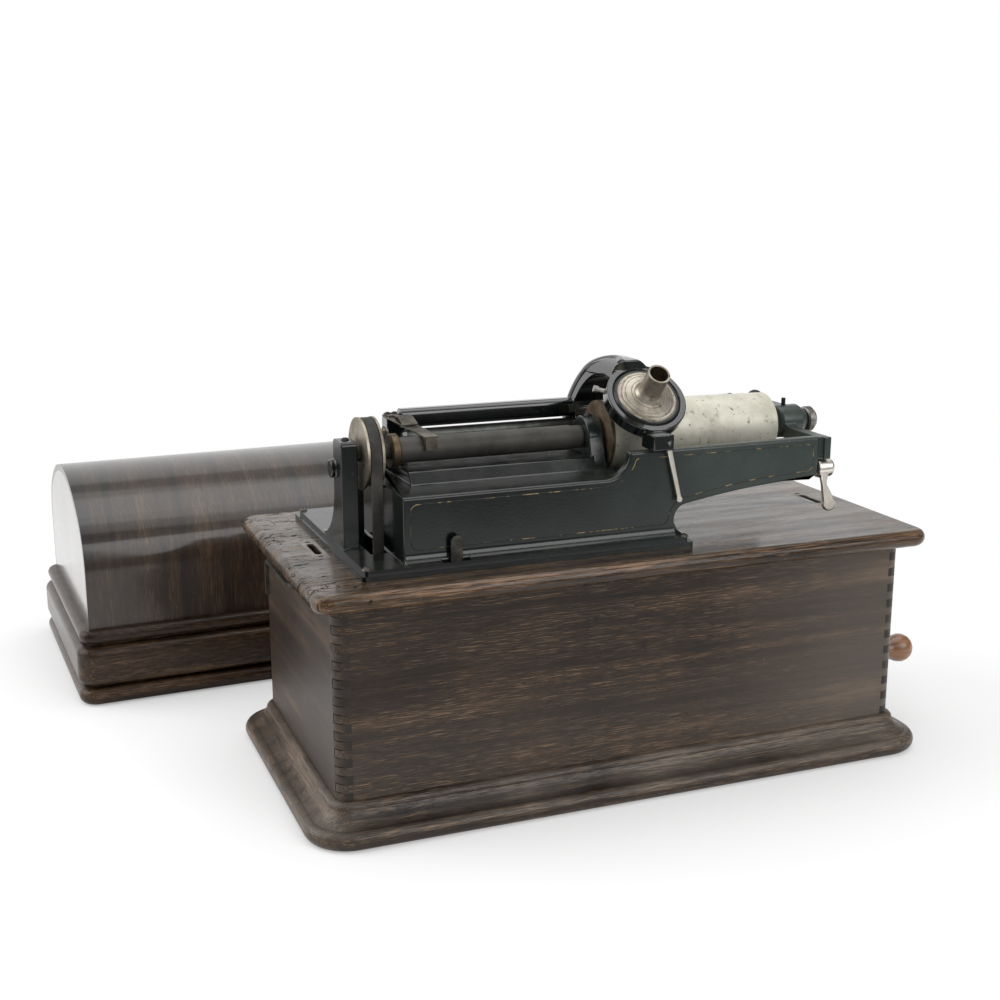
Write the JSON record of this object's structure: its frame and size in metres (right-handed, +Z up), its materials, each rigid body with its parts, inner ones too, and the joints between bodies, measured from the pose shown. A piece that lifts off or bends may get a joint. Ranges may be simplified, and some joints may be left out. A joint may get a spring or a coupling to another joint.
{
  "type": "cylinder phonograph",
  "caption": "Spring-wound cylinder phonograph: oak case with crank, works with mandrel, feed screw, sliding carriage, reproducer and end gate, and a domed lid set beside it.",
  "frame": {"origin": "middle of the underside of the case, on the table", "axes": "X along the shafts to the crank end, Y from the front of the case to the back where the lid stands, Z up"},
  "size_m": [0.5916, 0.5391, 0.2815],
  "materials": {
    "oak": "dark varnished oak, worn at the edges",
    "japan": "black japan over cast iron, fine gold lines",
    "nickel": "aged nickel plate",
    "brass": "dull brass",
    "steel": "bright steel, aged",
    "iron": "dark oiled iron",
    "leather": "grey brown belt leather",
    "diaphragm": "thin pale sheet",
    "grip_wood": "polished red brown wood"
  },
  "bodies": {
    "case": {"bottom_board": "oak", "base_moulding": "oak", "front_panel": "oak", "back_panel": "oak", "left_panel": "oak", "right_panel": "oak", "top_board": "oak", "slot_plates": "brass", "side_wire": "steel", "crank_bush": "nickel", "bed_casting": "japan", "bed_screws": "steel", "pillar_bush": "brass", "centre_bush": "brass", "oil_screws": "iron", "belt": "leather", "back_rod": "steel", "rod_screw": "iron", "gate_pin": "iron", "motor_frame": "iron", "motor_hangers": "steel"},
    "mandrel_shaft": {"feed_screw": "iron", "shaft_collar": "brass", "drive_pulley": "nickel", "mandrel": "nickel", "mandrel_plate": "iron"},
    "sleeves": {"carriage_bushes": "brass"},
    "carriage": {"carriage": "japan", "nut_spring": "steel", "thumb_strip": "nickel", "half_nut": "brass", "nut_screws": "iron", "reproducer": "nickel", "diaphragm": "diaphragm", "diaphragm_ring": "brass", "clamp_screw": "brass", "lift_pin": "steel"},
    "weight": {"reproducer_weight": "nickel", "stylus_bar": "brass"},
    "lifter": {"lift_lever": "nickel"},
    "gate": {"end_gate": "japan", "gate_set_screw": "iron"},
    "centre": {"centre_screw": "steel"},
    "latch": {"gate_latch": "nickel"},
    "starter": {"start_lever": "nickel", "brake_pad": "leather"},
    "speed": {"speed_screw": "nickel"},
    "first_arbor": {"pulley_arbor": "steel", "motor_pulley": "nickel"},
    "middle_arbor": {"mid_arbor": "brass"},
    "barrel": {"spring_barrel": "brass", "mainspring": "steel"},
    "governor": {"governor": "brass"},
    "crank": {"crank": "nickel", "crank_pinion": "steel"},
    "winder": {"winding_arbor": "steel"},
    "grip": {"crank_knob": "grip_wood"},
    "lid": {"lid_shell": "oak", "lid_ends": "oak", "lid_frame": "oak"}
  },
  "joints": [
    {"name": "mandrel_spin", "type": "hinge", "parent": "case", "child": "mandrel_shaft", "pos_m": [0, -0.02, 0.2284], "axis": [1, 0, 0], "continuous": true},
    {"name": "first_spin", "type": "hinge", "parent": "case", "child": "first_arbor", "pos_m": [-0.1498, -0.02, 0.1054], "axis": [1, 0, 0], "continuous": true},
    {"name": "middle_spin", "type": "hinge", "parent": "case", "child": "middle_arbor", "pos_m": [-0.1498, -0.01169, 0.07439], "axis": [1, 0, 0], "continuous": true},
    {"name": "barrel_spin", "type": "hinge", "parent": "case", "child": "barrel", "pos_m": [-0.1498, 0.02826, 0.0709], "axis": [1, 0, 0], "continuous": true},
    {"name": "governor_spin", "type": "hinge", "parent": "case", "child": "governor", "pos_m": [-0.1498, -0.0521, 0.1054], "axis": [1, 0, 0], "continuous": true},
    {"name": "crank_turn", "type": "hinge", "parent": "case", "child": "crank", "pos_m": [0.204, 0.0041, 0.09773], "axis": [1, 0, 0], "continuous": true},
    {"name": "winder_turn", "type": "hinge", "parent": "case", "child": "winder", "pos_m": [-0.0398, 0.02826, 0.0709], "axis": [1, 0, 0], "continuous": true},
    {"name": "grip_spin", "type": "hinge", "parent": "crank", "child": "grip", "pos_m": [0.2337, -0.04837, 0.05369], "axis": [1, 0, 0], "continuous": true},
    {"name": "carriage_slide", "type": "slide", "parent": "case", "child": "sleeves", "axis": [1, 0, 0], "range_m": [0, 0.095]},
    {"name": "carriage_lift", "type": "hinge", "parent": "sleeves", "child": "carriage", "pos_m": [0, 0.024, 0.2284], "axis": [-1, 0, 0], "range_deg": [0, 35]},
    {"name": "weight_tilt", "type": "hinge", "parent": "carriage", "child": "weight", "pos_m": [0.0261, -0.03019, 0.25988], "axis": [-1, 0, 0], "range_deg": [0, 2.5]},
    {"name": "lifter_turn", "type": "hinge", "parent": "carriage", "child": "lifter", "pos_m": [0.0269, -0.07745, 0.2324], "axis": [0, -1, 0], "range_deg": [-12, 45]},
    {"name": "gate_swing", "type": "hinge", "parent": "case", "child": "gate", "pos_m": [0.1538, 0.024, 0.2282], "axis": [0, 0, 1], "range_deg": [0, 100]},
    {"name": "centre_turn", "type": "hinge", "parent": "gate", "child": "centre", "pos_m": [0.1556, -0.02, 0.2284], "axis": [1, 0, 0], "continuous": true},
    {"name": "latch_turn", "type": "hinge", "parent": "case", "child": "latch", "pos_m": [0.1518, -0.07, 0.2039], "axis": [-1, 0, 0], "range_deg": [0, 90]},
    {"name": "start_swing", "type": "hinge", "parent": "case", "child": "starter", "pos_m": [-0.1196, -0.0784, 0.1396], "axis": [0, 1, 0], "range_deg": [-7, 7]},
    {"name": "speed_turn", "type": "hinge", "parent": "case", "child": "speed", "pos_m": [-0.0589, 0.06475, 0.1684], "axis": [0, 0, 1], "continuous": true},
    {"name": "lid_lift", "type": "slide", "parent": "case", "child": "lid", "axis": [0, 0, 1], "range_m": [0, 0.3]}
  ],
  "couplings": [
    {"joint": "first_spin", "follows": "mandrel_spin", "ratio": 1},
    {"joint": "middle_spin", "follows": "mandrel_spin", "ratio": -0.33333},
    {"joint": "barrel_spin", "follows": "mandrel_spin", "ratio": 0.083333},
    {"joint": "governor_spin", "follows": "mandrel_spin", "ratio": -3},
    {"joint": "winder_turn", "follows": "crank_turn", "ratio": -0.33333}
  ]
}
